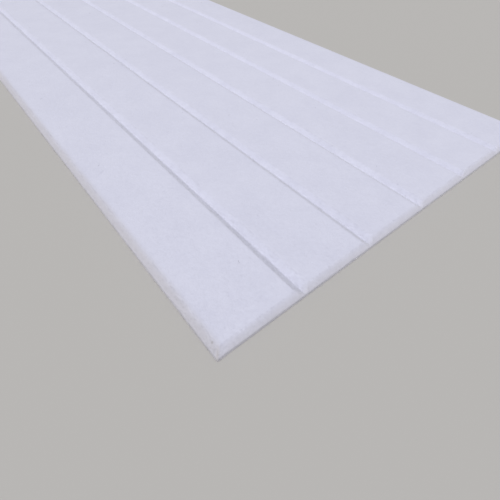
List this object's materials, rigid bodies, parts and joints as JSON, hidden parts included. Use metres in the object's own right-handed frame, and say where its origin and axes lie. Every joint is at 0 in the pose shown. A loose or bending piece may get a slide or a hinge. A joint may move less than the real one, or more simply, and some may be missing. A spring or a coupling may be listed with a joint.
{
  "type": "acoustic panel",
  "caption": "Flat white needled-felt acoustic board, grooved face up: five straight V-grooves run its length and out through a 45 degree bevel that frames the face.",
  "frame": {"origin": "middle of the flat back, on the surface the board lies on", "axes": "+X along the board and its grooves, +Y across it, +Z out of the grooved face"},
  "size_m": [1.2, 0.6, 0.012],
  "materials": {
    "white_felt": "matt white needled polyester felt, heat-pressed into a stiff board, with cut edges a little fibrous"
  },
  "bodies": {
    "root": {"acoustic_panel": "white_felt"}
  },
  "joints": []
}
